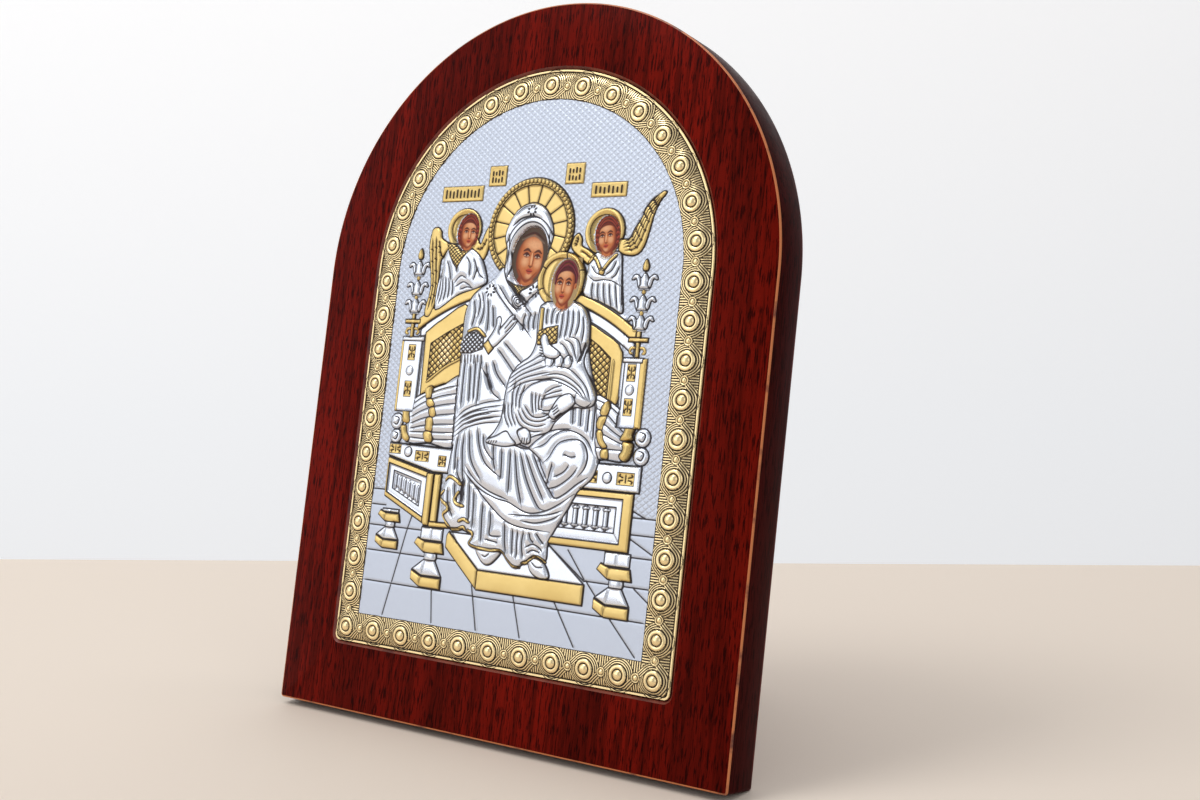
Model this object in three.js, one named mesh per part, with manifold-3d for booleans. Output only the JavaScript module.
// Icon panel: an arched wooden board with an embossed metal sheet let into its face, leaning back on a
// hinged easel strut. Millimetres, +Z up, the face towards -Y.
//
// Each piece of the panel is drawn flat, as it is laid out on the board: X to the right, Y up the board,
// and Z out of the board's face, which is the plane Z = 0. One group then stands the panel up and leans it.
import * as THREE from 'three';
import { mergeVertices } from 'three/addons/utils/BufferGeometryUtils.js';
import Module from 'manifold-3d';

const wasm = await Module();
wasm.setup();

// The board
const BOARD_WIDTH = 195;
const BOARD_HEIGHT = 262;
const BOARD_THICKNESS = 18;
const BOARD_CORNER = 1.2;
const FRONT_ARRIS = 0.6;
const BACK_ROUND = 3;
const ARCH_STEPS = 32;
const LEAN = THREE.MathUtils.degToRad(10.5);

// The recess in the board's face
const SIDE_MARGIN = 23.9;
const FOOT_MARGIN = 24.8;
const RECESS_DEPTH = 2.6;
const RECESS_CHAMFER = 0.9;
const RECESS_CORNER = 2.6;

// What lies in the recess
const GAP = 0.3;
const SHEET_PLAY = 0.3;
const CARD_THICKNESS = 0.7;
const CARD_INSET = 0.6;
const SHEET_THICKNESS = 0.4;
const SHEET_CORNER = 2.3;

// The sheet's gilded border: heights are above its flat rim
const BORDER_WIDTH = 11.4;
const BORDER_RISE = 1.8;
const BORDER_EDGE = 3.6;
const FIELD_DROP = 0.3;
const ROUNDEL_PITCH = 13;
const ROUNDEL_RADIUS = 4.5;
const ROUNDEL_LINE = 0.55;
const FOOT_ROUNDEL_LINE = 0.49;
const ROUNDEL_HEIGHT = 0.8;
const CORNER_ROUNDEL_RADIUS = 5.3;

// The relief's drawing was laid out on a field of this size, and stretches with the real one
const DRAWING_HALF = 61.9;
const DRAWING_HEIGHT = 190.6;
const DRAWING_FLOOR = 36.4;
const DRAWING_AXIS = -1.5;

// The strut and its hinge
const HINGE_HEIGHT = 152;
const STRUT_SPREAD = THREE.MathUtils.degToRad(25);
const STRUT_THICKNESS = 9;
const STRUT_HEAD_WIDTH = 36;
const STRUT_FOOT_WIDTH = 58;
const STRUT_EASE = 1.2;
const LEAF_THICKNESS = 1.5;
const LEAF_WIDTH = 24;
const LEAF_HEIGHT = 13;
const KNUCKLE_WALL = 0.7;
const PIN_RADIUS = 0.8;
const PIN_CLEARANCE = 0.25;
const PIN_END = 0.8;

// Sizes that follow from those above
const boardHalf = BOARD_WIDTH / 2;
const spring = BOARD_HEIGHT - boardHalf;
const recessHalf = boardHalf - SIDE_MARGIN;
const sheetHalf = recessHalf - SHEET_PLAY;
const sheetFoot = FOOT_MARGIN + SHEET_PLAY;
const cardBack = GAP - RECESS_DEPTH;
const cardFace = cardBack + CARD_THICKNESS;
const sheetBack = cardFace + GAP;
const rimFace = sheetBack + SHEET_THICKNESS;
const borderFace = rimFace + BORDER_RISE;
const fieldFace = borderFace - FIELD_DROP;
const fieldHalf = sheetHalf - BORDER_WIDTH;
const fieldFoot = sheetFoot + BORDER_WIDTH;
const fieldHeight = spring + fieldHalf - fieldFoot;
const buried = fieldFace - 0.3;

// Closed solids

function flatten(vectors) {
  return vectors.flatMap((v) => [v.x, v.y, v.z]);
}

// A solid through a stack of like outlines, each [outline, height], from the lowest up
function stack(levels) {
  const count = levels[0][0].length;
  const vertices = levels.flatMap(([outline, z]) => outline.flatMap((p) => [p.x, p.y, z]));
  const faces = [];
  for (let level = 0; level < levels.length - 1; level++) {
    for (let i = 0; i < count; i++) {
      const a = level * count + i;
      const b = level * count + (i + 1) % count;
      faces.push(a, b, b + count, a, b + count, a + count);
    }
  }
  const top = (levels.length - 1) * count;
  for (const [a, b, c] of THREE.ShapeUtils.triangulateShape(levels[0][0], [])) {
    faces.push(c, b, a);
  }
  for (const [a, b, c] of THREE.ShapeUtils.triangulateShape(levels[levels.length - 1][0], [])) {
    faces.push(top + a, top + b, top + c);
  }
  return solid(vertices, faces);
}

function solid(vertices, faces) {
  return new wasm.Manifold(new wasm.Mesh({
    numProp: 3,
    vertProperties: new Float32Array(vertices),
    triVerts: new Uint32Array(faces),
  }));
}

function solidOf(geometry, matrix) {
  const bare = geometry.clone();
  bare.deleteAttribute('normal');
  bare.deleteAttribute('uv');
  if (matrix) {
    bare.applyMatrix4(matrix);
  }
  const merged = mergeVertices(bare, 1e-5);
  return solid(merged.attributes.position.array, merged.index.array);
}

function block(width, height, depth, x, y, z) {
  return solidOf(new THREE.BoxGeometry(width, height, depth).translate(x, y, z));
}

function joined(solids) {
  return wasm.Manifold.union(solids);
}

function geometryOf(body) {
  const mesh = body.getMesh();
  const geometry = new THREE.BufferGeometry();
  geometry.setAttribute('position', new THREE.BufferAttribute(new Float32Array(mesh.vertProperties), 3));
  geometry.setIndex(new THREE.BufferAttribute(new Uint32Array(mesh.triVerts), 1));
  return geometry;
}

// Outlines

// A straight-sided panel under a half-round arch, with round lower corners, anticlockwise
function archOutline(half, foot, corner, cornerSteps, archSteps) {
  const points = [];
  const arc = (cx, cy, radius, from, to, steps) => {
    for (let i = 0; i <= steps; i++) {
      const angle = from + (to - from) * i / steps;
      points.push(new THREE.Vector2(cx + radius * Math.cos(angle), cy + radius * Math.sin(angle)));
    }
  };
  arc(-half + corner, foot + corner, corner, Math.PI, 1.5 * Math.PI, cornerSteps);
  arc(half - corner, foot + corner, corner, 1.5 * Math.PI, 2 * Math.PI, cornerSteps);
  arc(0, spring, half, 0, Math.PI, archSteps);
  return points;
}

function circle(x, y, radius, sides) {
  return oval(x, y, radius, radius, sides, 0);
}

function oval(x, y, halfWidth, halfHeight, sides, tilt) {
  const points = [];
  for (let i = 0; i < sides; i++) {
    const angle = 2 * Math.PI * i / sides;
    const across = halfWidth * Math.cos(angle);
    const along = halfHeight * Math.sin(angle);
    points.push(new THREE.Vector2(
      x + across * Math.cos(tilt) - along * Math.sin(tilt),
      y + across * Math.sin(tilt) + along * Math.cos(tilt),
    ));
  }
  return points;
}

function anticlockwise(outline) {
  return THREE.ShapeUtils.area(outline) < 0 ? outline.slice().reverse() : outline;
}

// The drawing's own places, in millimetres on the field it was laid out on
const stretchX = fieldHalf / DRAWING_HALF;
const stretchY = fieldHeight / DRAWING_HEIGHT;
const stretch = Math.min(stretchX, stretchY);

function place([x, y]) {
  return new THREE.Vector2(
    (x - DRAWING_AXIS) * stretchX,
    fieldFoot + (y - DRAWING_FLOOR) * stretchY,
  );
}

function polygon(points) {
  return anticlockwise(points.map(place));
}

function curved(points, count) {
  const spots = points.map((p) => {
    const at = place(p);
    return new THREE.Vector3(at.x, at.y, 0);
  });
  const curve = new THREE.CatmullRomCurve3(spots, true, 'centripetal');
  return anticlockwise(curve.getPoints(count).slice(0, -1).map((v) => new THREE.Vector2(v.x, v.y)));
}

// The same outline moved in by a small distance, corner by corner
function drawnIn(outline, distance) {
  const count = outline.length;
  return outline.map((point, i) => {
    const before = outline[(i + count - 1) % count];
    const after = outline[(i + 1) % count];
    const a = new THREE.Vector2().subVectors(point, before).normalize();
    const b = new THREE.Vector2().subVectors(after, point).normalize();
    const inward = new THREE.Vector2(-a.y - b.y, a.x + b.x).normalize();
    const share = Math.max(inward.dot(new THREE.Vector2(-a.y, a.x)), 0.5);
    return new THREE.Vector2(point.x + inward.x * distance / share, point.y + inward.y * distance / share);
  });
}

// The same outline shrunk towards its middle
function shrunk(outline, share) {
  const middle = outline.reduce((sum, p) => sum.add(p), new THREE.Vector2()).divideScalar(outline.length);
  return outline.map((p) => new THREE.Vector2().lerpVectors(middle, p, share));
}

// Raised forms on the sheet

const EASE = 0.35;
const BROAD_EASE = 0.8;
const CROWN_SHARE = 0.62;
const RIB_END_SHARE = 0.35;

function pad(outline, top, ease = EASE) {
  return stack([[outline, buried], [outline, top - ease], [drawnIn(outline, ease), top]]);
}

function mound(outline, edge, crown) {
  return stack([[outline, buried], [outline, edge], [shrunk(outline, CROWN_SHARE), crown]]);
}

// A rounded rib along a curve through the points, thinning to its ends
function ridge(points, width, top, steps) {
  const spots = points.map((p) => {
    const at = place(p);
    return new THREE.Vector3(at.x, at.y, 0);
  });
  const curve = new THREE.CatmullRomCurve3(spots, false, 'centripetal');
  const vertices = [];
  for (let i = 0; i <= steps; i++) {
    const at = curve.getPoint(i / steps);
    const along = curve.getTangent(i / steps);
    const swell = RIB_END_SHARE + (1 - RIB_END_SHARE) * Math.sin(Math.PI * i / steps);
    const half = width / 2 * swell;
    const across = new THREE.Vector3(-along.y, along.x, 0).multiplyScalar(half);
    vertices.push(
      new THREE.Vector3(at.x - across.x, at.y - across.y, buried),
      new THREE.Vector3(at.x + across.x, at.y + across.y, buried),
      new THREE.Vector3(at.x, at.y, top),
    );
  }
  const faces = [0, 2, 1];
  for (let i = 0; i < steps; i++) {
    for (let k = 0; k < 3; k++) {
      const a = 3 * i + k;
      const b = 3 * i + (k + 1) % 3;
      faces.push(a, b, a + 3, b, b + 3, a + 3);
    }
  }
  faces.push(3 * steps, 3 * steps + 1, 3 * steps + 2);
  return solid(flatten(vertices), faces);
}

function bar(x0, y0, x1, y1, top) {
  const outline = polygon([[x0, y0], [x1, y0], [x1, y1], [x0, y1]]);
  return stack([[outline, buried], [outline, top]]);
}

function plate(points, top) {
  const outline = polygon(points);
  return stack([[outline, buried], [outline, top]]);
}

function disc(x, y, radius, sides, edge, crown) {
  const at = place([x, y]);
  return mound(circle(at.x, at.y, radius * stretch, sides), edge, crown);
}

// The board, with its recess

function boardSolid() {
  const level = (inset, z) => [
    archOutline(boardHalf - inset, inset, Math.max(BOARD_CORNER - inset, 0.2), 1, ARCH_STEPS), z,
  ];
  const levels = [];
  const roundSteps = 2;
  for (let i = 0; i <= roundSteps; i++) {
    const angle = Math.PI / 2 * i / roundSteps;
    levels.push(level(
      BACK_ROUND * (1 - Math.sin(angle)),
      -BOARD_THICKNESS + BACK_ROUND * (1 - Math.cos(angle)),
    ));
  }
  levels.push(level(0, -FRONT_ARRIS), level(FRONT_ARRIS, 0));
  const hollow = (grow, z) => [
    archOutline(recessHalf + grow, FOOT_MARGIN - grow, RECESS_CORNER + grow, 2, ARCH_STEPS), z,
  ];
  const recess = stack([
    hollow(0, -RECESS_DEPTH),
    hollow(0, -RECESS_CHAMFER),
    hollow(RECESS_CHAMFER, 0),
    hollow(RECESS_CHAMFER, 1),
  ]);
  return stack(levels).subtract(recess);
}

function cardSolid() {
  const outline = archOutline(
    sheetHalf - CARD_INSET, sheetFoot + CARD_INSET, SHEET_CORNER - CARD_INSET, 1, ARCH_STEPS,
  );
  return stack([[outline, cardBack], [outline, cardFace]]);
}

// The sheet's ground: a flat rim, a rounded slope up to the border and the lower field inside it

function groundSolid() {
  const level = (inset, z) => [
    archOutline(sheetHalf - inset, sheetFoot + inset, SHEET_CORNER, 2, ARCH_STEPS), z,
  ];
  const body = stack([
    level(0, sheetBack),
    level(0, rimFace),
    level(0.4 * BORDER_EDGE, rimFace + 0.65 * BORDER_RISE),
    level(BORDER_EDGE, borderFace),
  ]);
  const field = (z) => [archOutline(fieldHalf, fieldFoot, 1.2, 1, ARCH_STEPS), z];
  return body.subtract(stack([field(fieldFace), field(borderFace + 1)]));
}

// Places in a closed row along the middle of the border, with a roundel in each lower corner
function borderPlaces() {
  const middle = sheetHalf - ROUNDEL_LINE * BORDER_WIDTH;
  const foot = sheetFoot + FOOT_ROUNDEL_LINE * BORDER_WIDTH;
  const side = spring - foot;
  const sideSteps = Math.round(side / ROUNDEL_PITCH);
  const archStart = sideSteps * ROUNDEL_PITCH;
  const archLength = side + Math.PI / 2 * middle - archStart;
  const archSteps = Math.round(archLength / ROUNDEL_PITCH);
  const lowerSteps = Math.round(2 * middle / ROUNDEL_PITCH);
  const roundels = [[0, spring + middle]];
  for (let i = 1; i < sideSteps + archSteps; i++) {
    const distance = i < sideSteps ? i * ROUNDEL_PITCH : archStart + archLength * (i - sideSteps) / archSteps;
    const angle = Math.max(distance - side, 0) / middle;
    const x = middle * Math.cos(angle);
    const y = foot + Math.min(distance, side) + middle * Math.sin(angle);
    roundels.push([x, y], [-x, y]);
  }
  for (let i = 1; i < lowerSteps; i++) {
    roundels.push([-middle + 2 * middle * i / lowerSteps, foot]);
  }
  return { roundels, corners: [[middle, foot], [-middle, foot]] };
}

function roundel([x, y], radius, sides) {
  return stack([
    [circle(x, y, radius, sides), borderFace - 0.7],
    [circle(x, y, 0.62 * radius, sides), borderFace + 0.4 * ROUNDEL_HEIGHT],
    [circle(x, y, 0.22 * radius, sides), borderFace + ROUNDEL_HEIGHT],
  ]);
}

function borderForms() {
  const { roundels, corners } = borderPlaces();
  return [
    ...roundels.map((at) => roundel(at, ROUNDEL_RADIUS, 6)),
    ...corners.map((at) => roundel(at, CORNER_ROUNDEL_RADIUS, 8)),
  ];
}

// Heights of the field's forms above its ground
const lift = (height) => fieldFace + height;

// Small gold plates with rows of plain strokes
const PLATES = [
  [-25.3, 196.6, 8, 7.4],
  [-47, 191.1, 19.8, 5.8],
  [8.8, 196.3, 8.2, 7.2],
  [20.9, 190.9, 14.8, 5.6],
];

function plateForms() {
  return PLATES.flatMap(([x, y, width, height]) => {
    const strokes = Math.round(width / 2.8);
    const forms = [bar(x, y, x + width, y + height, lift(0.5))];
    for (let i = 0; i < strokes; i++) {
      const at = x + width * (i + 0.5) / strokes;
      forms.push(bar(at - 0.35, y + 1.5, at + 0.35, y + height - 1.5, lift(0.75)));
    }
    return forms;
  });
}

// Haloes, each a flat ring that rises to its rim: [x, y, radius, height]
const MOTHER_HALO = [-3.9, 179.9, 19, 0.9];
const CHILD_HALO = [12.8, 161.4, 9.9, 2.4];
const LEFT_HALO = [-34.2, 180.3, 8.1, 1.2];
const RIGHT_HALO = [28.2, 178.6, 8.3, 1.2];

function halo([x, y, radius, height], sides, rim) {
  const at = place([x, y]);
  const r = radius * stretch;
  return stack([
    [circle(at.x, at.y, r, sides), buried],
    [circle(at.x, at.y, r - 0.3 * rim, sides), lift(height)],
    [circle(at.x, at.y, r - rim, sides), lift(height - 0.35)],
  ]);
}

// Throne

const THRONE_AXIS = -3.4;
const THRONE_CENTRE = 76.7;

function throneBand(inner, outer, leftEdge, rightEdge, top) {
  const steps = 6;
  const points = [];
  const at = (radius, x) => [x, THRONE_CENTRE + Math.sqrt(radius * radius - (x - THRONE_AXIS) ** 2)];
  for (let i = 0; i <= steps; i++) {
    points.push(at(outer, rightEdge + (leftEdge - rightEdge) * i / steps));
  }
  for (let i = steps; i >= 0; i--) {
    points.push(at(inner, rightEdge + (leftEdge - rightEdge) * i / steps));
  }
  return plate(points, top);
}

// A panel of raised diamonds between two slanting ends
function latticeForms(x0, x1, low, high, slant, top) {
  const forms = [plate([[x0, low], [x1, low + slant], [x1, high + slant], [x0, high]], top - 0.35)];
  const cells = 3;
  for (let i = 0; i < cells; i++) {
    for (let j = 0; j < cells; j++) {
      const x = x0 + (x1 - x0) * (i + 0.5) / cells;
      const y = low + slant * (i + 0.5) / cells + (high - low) * (j + 0.5) / cells;
      const at = place([x, y]);
      const reach = 0.4 * (high - low) / cells;
      const diamond = circle(at.x, at.y, reach, 4);
      forms.push(stack([[diamond, buried], [shrunk(diamond, 0.4), top]]));
    }
  }
  return forms;
}

function postForms(x0, x1, foot, head) {
  const middle = (x0 + x1) / 2;
  const forms = [
    bar(x0, foot, x1, head, lift(1)),
    bar(x0 - 1, head - 0.6, x1 + 1, head + 0.9, lift(1.3)),
  ];
  for (const share of [0.3, 0.78]) {
    const y = foot + (head - foot) * share;
    forms.push(bar(middle - 1.7, y - 2.7, middle + 1.7, y + 2.7, lift(1.35)));
  }
  forms.push(disc(middle, foot + (head - foot) * 0.54, 1.6, 6, lift(1.1), lift(1.5)));
  return forms;
}

// A stack of three lilies on a cross-shaped foot
function finialForms(x, foot) {
  const forms = [
    bar(x - 0.7, foot, x + 0.7, foot + 28, lift(0.8)),
    bar(x - 3.7, foot + 4.6, x + 3.7, foot + 6, lift(0.8)),
    plate([[x - 2.4, foot], [x + 2.4, foot], [x + 1, foot + 3], [x - 1, foot + 3]], lift(0.9)),
    plate([[x - 1.3, foot + 29], [x, foot + 27.8], [x + 1.3, foot + 29], [x, foot + 33]], lift(0.9)),
  ];
  for (const rise of [12, 19.5, 26.5]) {
    const y = foot + rise;
    forms.push(plate([
      [x + 1.6, y - 0.8], [x + 4.8, y - 1.4], [x + 3.8, y + 1.6], [x + 1.4, y + 1], [x, y + 2.6],
      [x - 1.4, y + 1], [x - 3.8, y + 1.6], [x - 4.8, y - 1.4], [x - 1.6, y - 0.8],
    ], lift(1)));
  }
  return forms;
}

// A bolster: two gathered rolls with gold end bands and a knob on each
function bolsterForms(side, endX, bodyX, low, tops) {
  const forms = [];
  const rolls = [[low, tops[0]], [low + 6.8, tops[1]]];
  rolls.forEach(([foot, head], k) => {
    const middle = foot + 3.2;
    forms.push(mound(polygon([
      [endX, foot + 0.4], [bodyX, foot + k * 3], [bodyX, head],
      [(endX + bodyX) / 2, head - 1.6], [endX, foot + 6.4],
    ]), lift(1.3), lift(2.2)));
    forms.push(mound(polygon([
      [endX - side * 1.4, foot], [endX + side * 2.2, foot + 0.6], [endX + side * 2, middle],
      [endX + side * 1.4, foot + 6.6], [endX - side * 2, foot + 5.6], [endX - side * 1.6, middle],
    ]), lift(2), lift(2.6)));
    forms.push(disc(endX + side * 5.2, middle, 2.8, 7, lift(0.9), lift(1.7)));
  });
  const band = bodyX + 0.55 * (endX - bodyX);
  forms.push(ridge([[band, low], [band - side * 1.6, low + 8], [band + side * 1, low + 17]], 3.4, lift(2.7), 4));
  return forms;
}

function railForms(points, squares, roundX, roundY) {
  const forms = [plate(points, lift(1.1))];
  for (const [x0, y0, x1, y1] of squares) {
    forms.push(bar(x0, y0, x1, y1, lift(1.4)));
  }
  forms.push(disc(roundX, roundY, 1.7, 6, lift(1.2), lift(1.6)));
  return forms;
}

// A seat panel drawn by its four corners: a raised frame and a row of balusters
function seatPanelForms(corners, frame, count) {
  const [a, b, c, d] = corners;
  const at = (u, v) => [
    (a[0] * (1 - u) + b[0] * u) * (1 - v) + (d[0] * (1 - u) + c[0] * u) * v,
    (a[1] * (1 - u) + b[1] * u) * (1 - v) + (d[1] * (1 - u) + c[1] * u) * v,
  ];
  const cell = (u0, v0, u1, v1, top) => plate([at(u0, v0), at(u1, v0), at(u1, v1), at(u0, v1)], top);
  const forms = [
    cell(0, 0, 1, 1, lift(0.6)),
    cell(0, 0, 1, frame, lift(1.3)),
    cell(0, 1 - frame, 1, 1, lift(1.3)),
    cell(0, 0, frame * 0.7, 1, lift(1.3)),
    cell(1 - frame * 0.7, 0, 1, 1, lift(1.3)),
  ];
  for (let i = 0; i < count; i++) {
    const u = 0.24 + 0.52 * i / (count - 1);
    forms.push(cell(u - 0.03, 0.3, u + 0.03, 0.7, lift(1)));
  }
  return forms;
}

// A leg: a shaft, a faceted band, a ball, a pyramid and a faceted foot
function legForms(x, foot, scale) {
  const at = (u, v) => [x + u * scale, foot + v * scale];
  const facet = (low, high, top) => plate([
    at(-7, low + 2), at(-2.5, low), at(7, low), at(6, high), at(-2.5, high), at(-6.4, high + 0.8),
  ], top);
  return [
    plate([at(-5.5, 16), at(5, 16), at(5, 21.5), at(-5.5, 21.5)], lift(0.9)),
    facet(12.6, 16.2, lift(1.5)),
    disc(...at(0.3, 11), 2.6 * scale, 6, lift(0.8), lift(1.5)),
    mound(
      polygon([at(-6.8, 5.4), at(-2.5, 4.2), at(6.8, 4.2), at(2.8, 9.8), at(-2.6, 9.8)]),
      lift(0.8), lift(1.4),
    ),
    facet(0, 4.4, lift(1.5)),
  ];
}

function throneForms() {
  const forms = [
    throneBand(60, 84.6, -47.3, 40.3, lift(0.5)),
    throneBand(81, 84.8, -51, -20, lift(0.9)),
    throneBand(79.8, 83.4, 20, 46.4, lift(0.9)),
    bar(-47.3, 110, -43.8, 142, lift(0.8)),
    bar(36.4, 108, 40.3, 137, lift(0.8)),
    ...latticeForms(-43.5, -29, 126, 139, 6.5, lift(0.95)),
    ...latticeForms(27, 36, 128, 139.6, -4.6, lift(0.95)),
    ...postForms(-56.5, -48.5, 112, 140),
    ...postForms(42, 50.5, 110, 134.6),
    ...finialForms(-53.9, 140),
    ...finialForms(46.3, 135.6),
    ...bolsterForms(-1, -50.5, -28, 100.6, [112, 125]),
    ...bolsterForms(1, 47, 33, 100.6, [110, 121]),
    ...railForms(
      [[-58, 100.2], [-58, 95.2], [-35, 90.3], [-28, 90.3], [-28, 100.2]],
      [[-57, 96, -51.6, 99.4], [-44.9, 93.8, -38.6, 97.6], [-33.8, 92.8, -30.6, 96.6]], -48.4, 97.6,
    ),
    ...railForms(
      [[30, 90.2], [53, 90.2], [53, 99.4], [30, 100.6]],
      [[31.4, 92.2, 36, 96.4], [44, 92.2, 51, 96.4]], 40.2, 94.4,
    ),
    ...seatPanelForms([[-57.6, 80.8], [-36, 72], [-36, 90.2], [-57.6, 95]], 0.12, 4),
    bar(-34.6, 71, -30, 90, lift(1.2)),
    bar(-30, 71, -24, 73, lift(1)),
    ...seatPanelForms([[18, 70.2], [51.5, 70.2], [51.5, 90], [18, 90]], 0.13, 5),
    ...legForms(-53.6, 61, 0.72),
    ...legForms(-34, 48.8, 1),
    ...legForms(47, 48, 1),
  ];
  return forms;
}

// Angels: [x, y] outlines in the drawing's own places

function wingForms(outline, feathers, top) {
  const forms = [pad(curved(outline, 12), lift(top))];
  for (const feather of feathers) {
    forms.push(ridge(feather, 1.5, lift(top + 0.6), 2));
  }
  return forms;
}

function angelForms() {
  return [
    halo(LEFT_HALO, 14, 1.6),
    halo(RIGHT_HALO, 14, 1.6),
    ...wingForms([
      [-50, 179], [-47.8, 181.4], [-45.2, 180], [-41.5, 175.6], [-38, 173.6], [-41.6, 170.6], [-43.6, 165],
      [-44, 157], [-45.2, 150], [-48.6, 150.6], [-47, 160], [-48.6, 169],
    ], [
      [[-48.4, 179], [-47.2, 170], [-45.4, 162], [-46.8, 151.6]],
      [[-46, 178], [-44.8, 170], [-44.4, 160], [-45.6, 151]],
    ], 0.8),
    ...wingForms([[-28.6, 172.4], [-25.6, 177], [-24.6, 181], [-22, 180.4], [-22.6, 174], [-23.6, 169.4]], [], 0.7),
    mound(curved([
      [-43, 157], [-43, 164], [-40.6, 170.6], [-36, 174], [-29, 173.6], [-24.4, 170.4], [-21, 164],
      [-22.6, 157.6], [-30, 153.8], [-41.6, 149.4],
    ], 11), lift(1), lift(1.8)),
    ridge([[-40.6, 168.6], [-34.4, 166.6], [-29.4, 170.6]], 2.2, lift(2.2), 4),
    ridge([[-38, 165.4], [-32, 160.4], [-24.6, 160]], 2, lift(2.3), 4),
    ridge([[-41.4, 161], [-40.6, 155.6], [-41, 151.4]], 1.6, lift(1.8), 3),
    ridge([[-36.6, 160], [-36, 156.4], [-36, 152.6]], 1.6, lift(2), 3),
    ...wingForms([
      [36, 176], [41, 178.6], [44, 184], [47.4, 189.4], [51.6, 192.6], [50, 188.4], [47.4, 181], [45, 173.6],
      [41.4, 169.8], [36, 170],
    ], [
      [[37, 174.6], [43, 178], [46, 184], [50.6, 191.4]],
      [[37, 172.6], [43.4, 174.4], [46.6, 181], [49.8, 189]],
    ], 0.8),
    ...wingForms([[15.2, 172.4], [15.8, 177], [18.4, 177.9], [20.6, 174.6], [24.4, 170.8], [20, 169]], [], 0.7),
    mound(curved([
      [20.6, 165], [22.6, 170.6], [28, 172.6], [36.6, 171], [38.2, 162], [39.4, 150.6], [30.6, 154.6],
      [22.6, 158],
    ], 11), lift(1), lift(1.8)),
    ridge([[24, 170], [30, 164.6], [36, 169.6]], 2, lift(2.2), 4),
    ridge([[22.8, 163], [28, 160.4], [35, 161.8]], 1.8, lift(2.2), 4),
    ridge([[27, 159], [27.4, 156.6], [27.6, 155]], 1.6, lift(1.9), 2),
    ridge([[34, 160.6], [35, 156.4], [36, 152.4]], 1.6, lift(2), 3),
  ];
}

// The mother and the child

const MOTHER_OUTLINE = [
  [-12.6, 165.6], [-17, 161.4], [-26, 155.4], [-29.4, 148], [-30.6, 138], [-29.4, 126], [-28.8, 108],
  [-28.6, 98], [-30.6, 88], [-31, 79], [-27, 73], [-17, 71.4], [-15.8, 67], [-5, 65.4], [5, 61],
  [10, 61.8], [12, 64.6], [19, 67], [20.4, 74], [28, 86], [35, 95], [35.4, 103], [32.8, 112],
  [31.4, 122], [27.6, 137], [25, 150], [15, 158], [6.8, 166], [6.6, 177], [3.4, 184.6], [-3.4, 189],
  [-9.6, 186.4], [-13.4, 178],
];

const MOTHER_FOLDS = [
  [[[-12, 168], [-12.6, 176], [-8, 184.6], [-1, 187]], 2.6, 2.6],
  [[[-24, 156], [-26.6, 146], [-24.6, 136], [-26, 124]], 4, 2.9],
  [[[-19, 158], [-20.6, 146], [-19, 134], [-24, 116]], 3.4, 3],
  [[[-13, 160], [-6, 152], [2, 142]], 3.6, 2.9],
  [[[-19, 126], [-8, 128.6], [2, 134]], 3.2, 3],
  [[[-28, 108], [-16, 114], [-4, 117.6]], 4.6, 3.3],
  [[[-24, 104], [-25.4, 92], [-24, 78]], 3.2, 2.7],
  [[[-19, 102], [-18.6, 90], [-14.6, 74]], 3.2, 2.8],
  [[[-14, 106], [-10, 92], [4, 80.6]], 3.6, 3],
  [[[2, 101], [8, 90], [18, 80.4]], 3.2, 3],
  [[[-12, 84], [2, 77], [22, 76.6]], 4, 3.2],
  [[[-2, 76], [-2.4, 70], [-2, 65.6]], 3.2, 2.7],
  [[[5.4, 75], [5.4, 68], [5.8, 62]], 3.4, 2.7],
  [[[11, 74], [12.6, 69], [14.6, 66.4]], 3, 2.5],
  [[[16, 94], [26, 88.6], [33, 98]], 4, 3.3],
  [[[18, 112], [26, 113], [32, 106]], 3.6, 3.2],
  [[[24, 124], [28, 116], [29, 108]], 3, 3],
];

function motherForms() {
  const forms = [
    halo(MOTHER_HALO, 22, 2),
    pad(curved(MOTHER_OUTLINE, 36), lift(1.9), BROAD_EASE),
    disc(-5, 174, 9.4, 12, lift(1.6), lift(2.4)),
    mound(curved([[-27, 154], [-12, 162], [4, 150], [4, 132], [-12, 122], [-27, 124]], 9), lift(1.6), lift(2.5)),
    mound(curved([[-15, 108], [-4, 112], [2, 104], [-2, 90], [-10, 84], [-17, 92]], 8), lift(1.8), lift(3)),
    mound(curved([[18, 108], [28, 107], [33, 98], [28, 88], [17, 91], [13, 100]], 8), lift(1.8), lift(3.3)),
    // The near hand, with its gold cuff, and the fringed sleeve
    mound(curved([[-16.6, 139.6], [-12, 146.4], [-4.6, 149], [-6.6, 144], [-11, 138], [-14.6, 136.4]], 9),
      lift(2), lift(3.1)),
    ridge([[-18.2, 138.6], [-16.4, 136.4], [-14, 135.4]], 3.4, lift(3.2), 3),
    ...[-27, -23.6, -20.2].map((x, i) => (
      ridge([[x, 142.4 - 0.3 * i], [x + 0.4, 137.6], [x + 0.8, 132.6]], 2.4, lift(3), 2)
    )),
  ];
  for (const [points, width, height] of MOTHER_FOLDS) {
    forms.push(ridge(points, width, lift(height), 3));
  }
  // Shoes
  forms.push(mound(curved([[-9, 66], [-7.4, 61.6], [-4.4, 60], [-1, 61.6], [0, 65.6]], 7), lift(1.2), lift(1.9)));
  forms.push(mound(curved([[11, 62.4], [14, 65.4], [18.4, 65], [20.2, 58.6], [15, 58]], 7), lift(1.2), lift(1.9)));
  return forms;
}

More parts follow.
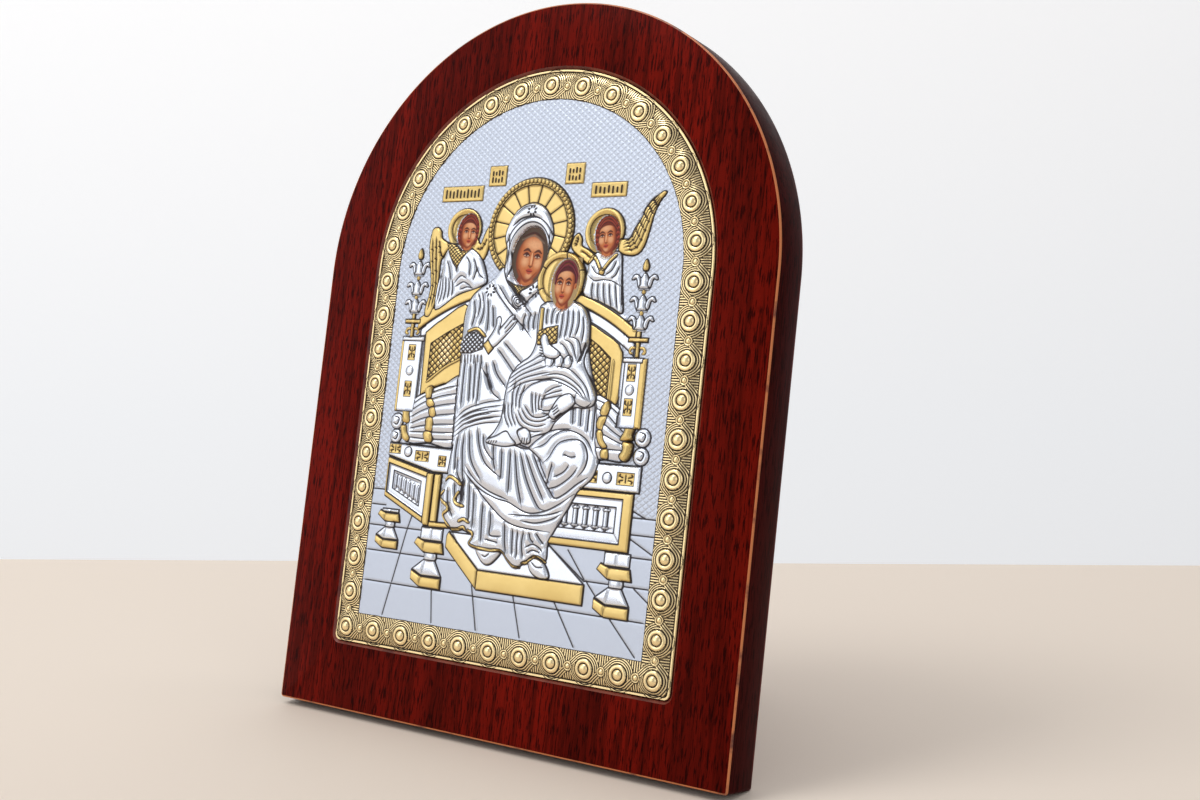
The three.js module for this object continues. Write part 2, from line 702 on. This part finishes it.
const CHILD_FOLDS = [
  [[[9, 150], [8.6, 143], [7, 136]], 2.2, 3.5],
  [[[14, 151], [15, 143], [13, 136]], 2.4, 3.5],
  [[[21, 150], [24, 143], [22, 136]], 3.4, 3.8],
  [[[22, 135], [14, 133], [6, 137]], 3, 3.8],
  [[[3, 131], [12, 131.4], [24, 126]], 3.4, 3.6],
  [[[-2, 127], [8, 127.6], [22, 121]], 2.8, 3.5],
  [[[-6, 122], [0, 114], [12, 108]], 3, 3.5],
  [[[-4, 116], [4, 108.6], [16, 109]], 2.8, 3.3],
  [[[-10, 104.6], [-4, 107], [4, 106]], 3, 3.5],
];

function childForms() {
  const forms = [
    halo(CHILD_HALO, 16, 1.6),
    pad(curved([
      [10, 152], [6, 150], [5, 140], [0, 133], [-5, 127], [-7.6, 116], [-9.6, 105], [-2, 103], [8, 104.6],
      [16, 110], [28, 118], [31, 126], [28, 136], [26, 147], [22, 152.4], [16, 153.6],
    ], 18), lift(2.6), BROAD_EASE),
    mound(curved([[7, 149], [7, 138], [12, 133], [24, 135], [25, 146], [20, 151.6]], 8), lift(2.5), lift(3.2)),
    bar(5.6, 139.6, 13.6, 146, lift(3.3)),
    mound(curved([[4, 137.6], [7, 141], [13, 137.6], [12, 134], [7, 133.6]], 7), lift(3), lift(3.9)),
  ];
  for (const [points, width, height] of CHILD_FOLDS) {
    forms.push(ridge(points, width, lift(height), 3));
  }
  return forms;
}

// The footstool: a gold front and a gold slanting end, with a silver top
function footstoolForms() {
  return [
    pad(polygon([[-23.4, 70], [-10.4, 58.2], [35.4, 58.2], [20, 70]]), lift(0.6)),
    pad(polygon([[-10.3, 51], [35.4, 51], [35.4, 58.2], [-10.3, 58.2]]), lift(1.3)),
    pad(polygon([[-26, 64.8], [-10.5, 51], [-10.5, 58.2], [-23.4, 70], [-26, 69.4]]), lift(1.1)),
  ];
}

// Openings for the painted faces: [x, y, half width, half height, tilt in degrees]
const FACE_OPENINGS = [
  [-3.1, 169.9, 7.7, 10.6, -8],
  [14.4, 159.8, 5.9, 8.9, -4],
  [-32.5, 179.1, 5.1, 6.8, -4],
  [29.1, 176.8, 5.2, 7.1, 6],
];

function faceOpenings() {
  return FACE_OPENINGS.map(([x, y, halfWidth, halfHeight, tilt]) => {
    const at = place([x, y]);
    const turn = THREE.MathUtils.degToRad(tilt);
    const outline = oval(at.x, at.y, halfWidth * stretch, halfHeight * stretch, 14, turn);
    return stack([[outline, sheetBack - 1], [outline, lift(6)]]);
  });
}

function sheetSolid() {
  return joined([
    groundSolid(),
    ...borderForms(),
    ...plateForms(),
    ...throneForms(),
    ...angelForms(),
    ...motherForms(),
    ...childForms(),
    ...footstoolForms(),
  ]).subtract(joined(faceOpenings()));
}

// How the panel stands: the lowest line of its rounded back edge is on the floor

function lowestOf(body, matrix) {
  const places = body.getMesh().vertProperties;
  let lowest = Infinity;
  for (let i = 0; i < places.length; i += 3) {
    const at = new THREE.Vector3(places[i], places[i + 1], places[i + 2]).applyMatrix4(matrix);
    lowest = Math.min(lowest, at.z);
  }
  return lowest;
}

const panel = new THREE.Group();
panel.rotation.x = Math.PI / 2 - LEAN;
panel.updateMatrixWorld(true);
panel.position.z = -lowestOf(boardSolid(), panel.matrixWorld);
panel.updateMatrixWorld(true);

// The hinge and the strut, drawn about the pin with the strut folded flat against the back

const knuckleBore = PIN_RADIUS + PIN_CLEARANCE;
const knuckleRadius = knuckleBore + KNUCKLE_WALL;
const pinStandOff = GAP + knuckleRadius;
const strutOpen = LEAN + STRUT_SPREAD;
const headFace = pinStandOff + GAP + knuckleRadius;

const pinPlace = new THREE.Vector3(0, HINGE_HEIGHT, -BOARD_THICKNESS - pinStandOff);
const folding = new THREE.Group();
folding.position.copy(pinPlace);
folding.rotation.x = strutOpen;
panel.add(folding);
panel.updateMatrixWorld(true);

const alongX = new THREE.Matrix4().makeRotationZ(Math.PI / 2);

function rod(radius, length, x, sides) {
  const geometry = new THREE.CylinderGeometry(radius, radius, length, sides);
  return solidOf(geometry, new THREE.Matrix4().makeTranslation(x, 0, 0).multiply(alongX));
}

// A leaf standing up from the pin, with its knuckles, in the panel's directions about the pin
function leafSolid(front, knuckles) {
  const flat = block(
    LEAF_WIDTH, LEAF_HEIGHT, LEAF_THICKNESS, 0, knuckleBore + LEAF_HEIGHT / 2, front - LEAF_THICKNESS / 2,
  );
  const third = LEAF_WIDTH / 3;
  const barrel = knuckles.map((k) => rod(knuckleRadius, third - GAP, third * k, 12));
  const others = [-1, 0, 1].filter((k) => !knuckles.includes(k));
  const relief = others.map((k) => rod(knuckleRadius + GAP, third + GAP, third * k, 12));
  return joined([flat.subtract(joined(relief)), ...barrel])
    .subtract(rod(knuckleBore, LEAF_WIDTH + 2, 0, 12));
}

// From the panel's directions about the pin to the folded strut's own
const unfold = new THREE.Matrix4().makeRotationX(-strutOpen);

function turned(body) {
  return solidOf(geometryOf(body), unfold);
}

function strutSolid() {
  const reach = 2 * HINGE_HEIGHT;
  const frontFace = -(knuckleRadius + GAP);
  const backFace = frontFace - STRUT_THICKNESS;
  const start = STRUT_THICKNESS * 4;
  const length = strutLength();
  const halfAt = (y) => (STRUT_HEAD_WIDTH + (STRUT_FOOT_WIDTH - STRUT_HEAD_WIDTH) * -y / length) / 2;
  const ring = (y) => {
    const half = halfAt(y);
    return [
      [-half, frontFace - STRUT_EASE], [-half, backFace + STRUT_EASE], [-half + STRUT_EASE, backFace],
      [half - STRUT_EASE, backFace], [half, backFace + STRUT_EASE], [half, frontFace - STRUT_EASE],
      [half - STRUT_EASE, frontFace], [-half + STRUT_EASE, frontFace],
    ].map(([x, z]) => new THREE.Vector3(x, y, z));
  };
  const head = ring(start);
  const foot = ring(-reach);
  const count = head.length;
  const faces = [];
  for (let i = 0; i < count; i++) {
    const next = (i + 1) % count;
    faces.push(i, next, count + next, i, count + next, count + i);
  }
  for (let i = 1; i < count - 1; i++) {
    faces.push(0, i + 1, i, count, count + i, count + i + 1);
  }
  const prism = solid(flatten([...head, ...foot]), faces);
  // The head is cut to lie against the back when open, and the foot level with the floor
  const big = 4 * HINGE_HEIGHT;
  const headCut = turned(block(big, big, big, 0, 0, -(headFace - pinStandOff) + big / 2));
  const toFolding = folding.matrixWorld.clone().invert();
  const floorCut = solidOf(new THREE.BoxGeometry(big, big, big).translate(0, 0, -big / 2), toFolding);
  return prism.subtract(headCut).subtract(floorCut);
}

// Along the middle of the open strut, from the pin down to the floor
function strutLength() {
  const pin = pinPlace.clone().applyMatrix4(panel.matrixWorld);
  return pin.z / Math.cos(STRUT_SPREAD);
}

// Materials

const finish = (color, roughness, metalness) => new THREE.MeshStandardMaterial({ color, roughness, metalness });
const wood = finish(0x5a130c, 0.35, 0);
const plainWood = finish(0x6b3a22, 0.6, 0);
const silver = finish(0xd9dbe2, 0.3, 0.9);
const card = finish(0xa8532f, 0.7, 0);
const brass = finish(0xb08d3e, 0.35, 0.9);

function add(parent, name, body, material) {
  const mesh = new THREE.Mesh(geometryOf(body), material);
  mesh.name = name;
  parent.add(mesh);
}

add(panel, 'board', boardSolid(), wood);
add(panel, 'picture_card', cardSolid(), card);
add(panel, 'relief_sheet', sheetSolid(), silver);

const fixed = new THREE.Group();
fixed.position.copy(pinPlace);
panel.add(fixed);
const leafFront = pinStandOff - GAP;
add(fixed, 'hinge_leaf_board', leafSolid(leafFront, [-1, 1]), brass);
add(fixed, 'hinge_pin', rod(PIN_RADIUS, LEAF_WIDTH + 2 * PIN_END, 0, 12), brass);
add(folding, 'hinge_leaf_strut', turned(leafSolid(leafFront - LEAF_THICKNESS - GAP, [0])), brass);
add(folding, 'strut', strutSolid(), plainWood);

// The origin is under the middle of the whole panel, on the floor
const whole = new THREE.Group();
whole.add(panel);
whole.updateMatrixWorld(true);
const bounds = new THREE.Box3().setFromObject(whole, true);
panel.position.x -= (bounds.min.x + bounds.max.x) / 2;
panel.position.y -= (bounds.min.y + bounds.max.y) / 2;

export default whole;
